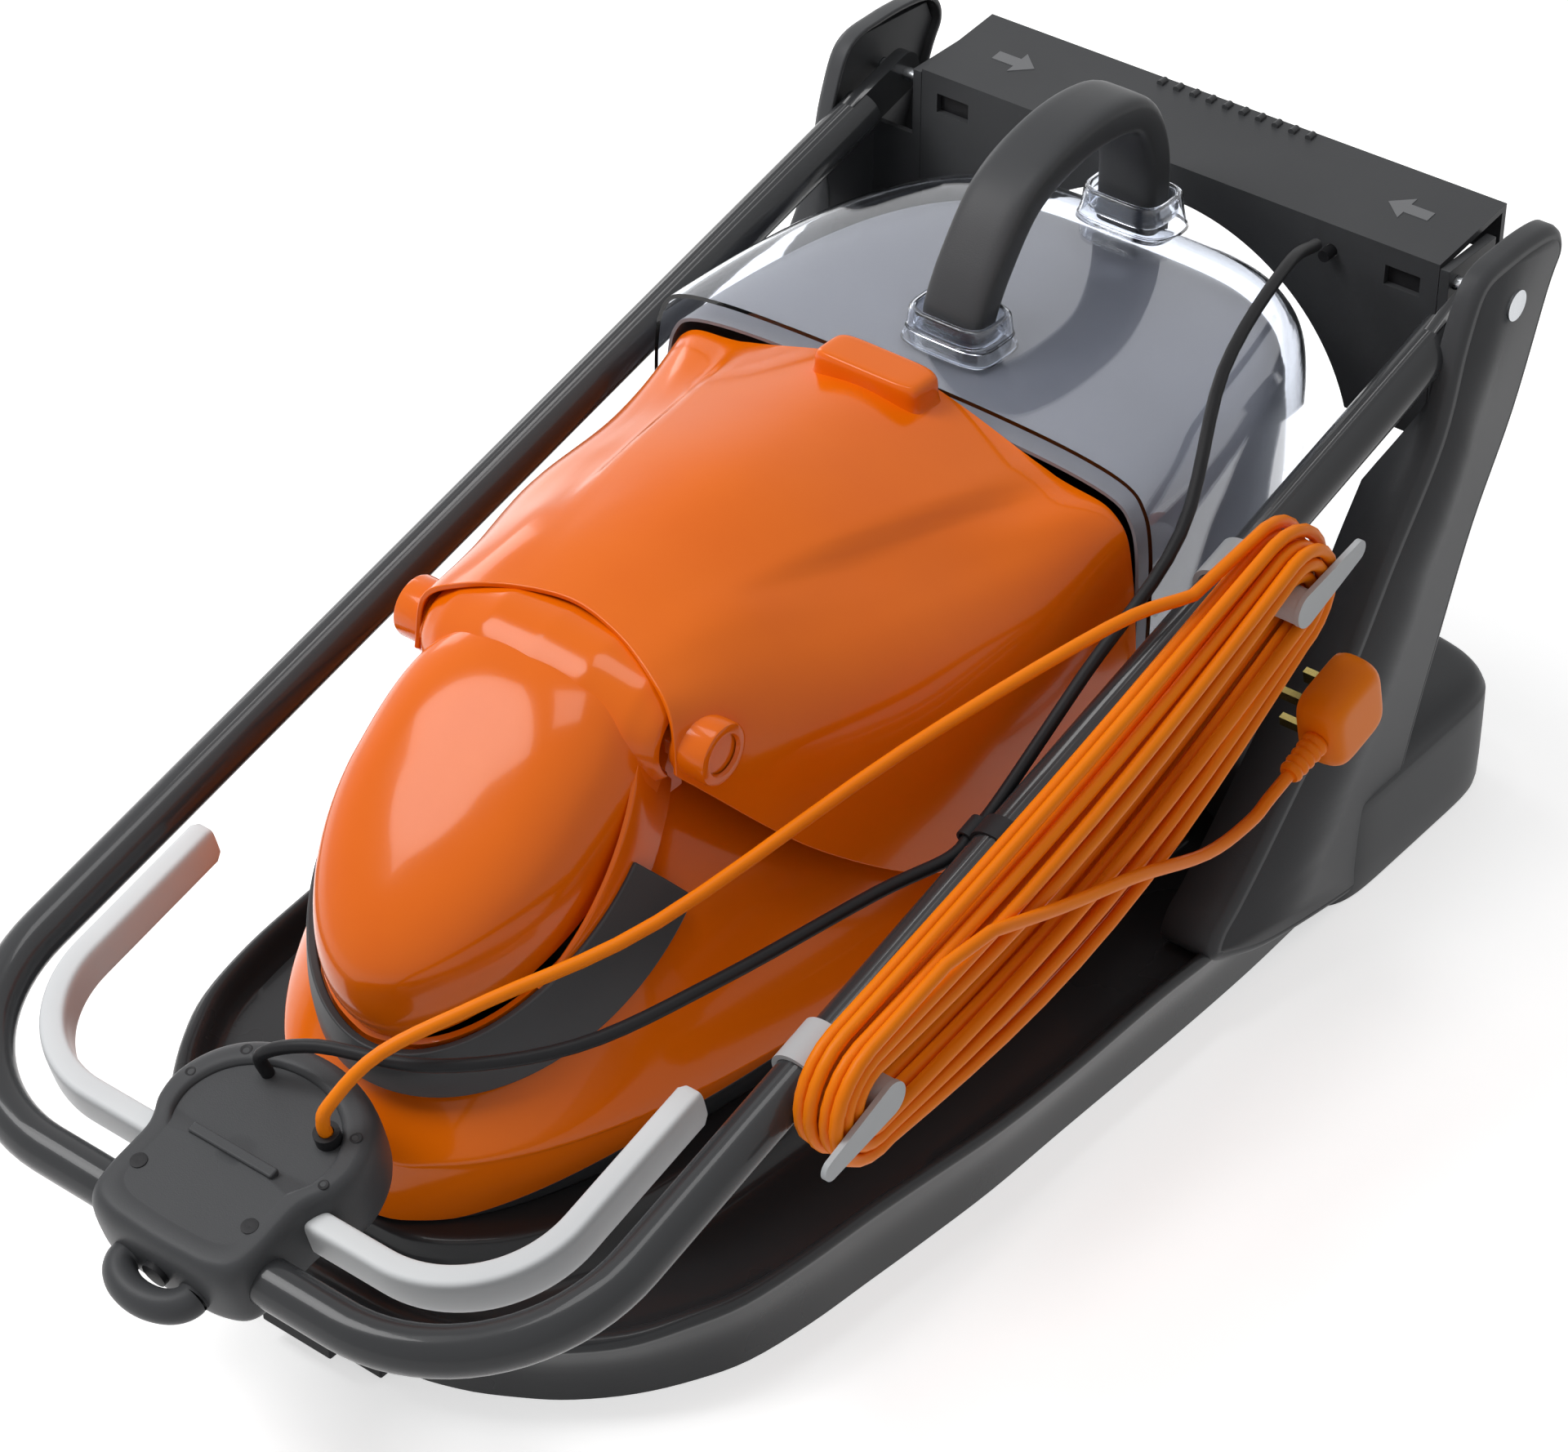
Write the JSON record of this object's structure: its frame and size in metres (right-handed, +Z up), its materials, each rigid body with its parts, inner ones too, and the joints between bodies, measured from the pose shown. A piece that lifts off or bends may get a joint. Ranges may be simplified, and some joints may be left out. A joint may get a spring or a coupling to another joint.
{
  "type": "hover mower",
  "caption": "Hover mower with hooded deck, hinged grass box lid, clear dome, folding tube handle with switch levers, and a hank of cord on two hooks.",
  "frame": {"origin": "middle of the mower's box on the ground, without the cord", "axes": "+Z up, -Y towards the motor cover's nose, +X towards the side with the cable hooks"},
  "size_m": [0.4864, 0.92, 0.4246],
  "materials": {
    "deck_plastic": "satin dark grey moulding",
    "grey_plastic": "satin grey moulding",
    "orange_plastic": "gloss orange moulding",
    "clear_plastic": "clear moulding",
    "steel": "plain steel",
    "tube_paint": "dark grey paint",
    "brass": "plain brass",
    "black_plastic": "black moulding",
    "black_rubber": "black cord sheath",
    "orange_rubber": "orange cord sheath",
    "pale_plastic": "pale grey moulding"
  },
  "bodies": {
    "deck": {"deck_hood": "deck_plastic", "front_foot": "grey_plastic", "front_hood": "orange_plastic", "cover_collar": "grey_plastic", "motor_cover": "orange_plastic", "hinge_pins": "orange_plastic", "grass_bin": "grey_plastic", "carry_beam": "grey_plastic", "left_side_arm": "grey_plastic", "right_side_arm": "grey_plastic", "pivot_bolts": "steel", "motor_can": "steel", "lower_bearing": "steel", "upper_bearing": "steel", "motor_lead_rear": "black_rubber"},
    "rotor": {"motor_shaft": "steel", "fan": "black_plastic", "blade": "steel", "blade_bolt": "steel"},
    "lid": {"lid_cover": "orange_plastic", "grass_dome": "clear_plastic", "carry_handle": "grey_plastic"},
    "handle": {"handle_tube": "tube_paint", "switch_box_rear": "grey_plastic", "switch_box_front": "grey_plastic", "box_screws": "steel", "micro_switch": "black_plastic", "lever_pins": "steel", "hook_upper": "pale_plastic", "hook_lower": "pale_plastic", "lead_clip": "black_plastic", "mains_grommet": "black_rubber", "cord_lead": "orange_rubber", "cord_hank": "orange_rubber", "cord_tail": "orange_rubber", "plug_body": "orange_rubber", "plug_pins": "brass", "motor_lead_front": "black_rubber"},
    "left_lever": {"left_lever": "pale_plastic"},
    "right_lever": {"right_lever": "pale_plastic"},
    "lock_button": {"lock_button": "grey_plastic"}
  },
  "joints": [
    {"name": "handle_fold", "type": "hinge", "parent": "deck", "child": "handle", "pos_m": [0, 0.371, 0.334], "axis": [-1, 0, 0], "range_deg": [0, 130], "deforming": ["motor_lead_front"]},
    {"name": "lid_hinge", "type": "hinge", "parent": "deck", "child": "lid", "pos_m": [0, -0.15, 0.292], "axis": [1, 0, 0], "range_deg": [0, 35]},
    {"name": "right_lever_squeeze", "type": "hinge", "parent": "handle", "child": "right_lever", "pos_m": [0.05, -0.39384, 0.1362], "axis": [0, 0.2504, -0.9681], "range_deg": [0, 4], "stiffness_Nm_per_rad": 4},
    {"name": "left_lever_squeeze", "type": "hinge", "parent": "handle", "child": "left_lever", "pos_m": [-0.05, -0.39384, 0.1362], "axis": [0, -0.2504, 0.9681], "range_deg": [0, 4], "stiffness_Nm_per_rad": 4},
    {"name": "lock_press", "type": "slide", "parent": "handle", "child": "lock_button", "axis": [0, 0.9681, 0.2504], "range_m": [0, 0.005], "stiffness_N_per_m": 600},
    {"name": "rotor_spin", "type": "hinge", "parent": "deck", "child": "rotor", "pos_m": [0, -0.13, 0.05], "axis": [0, 0, 1], "continuous": true}
  ]
}
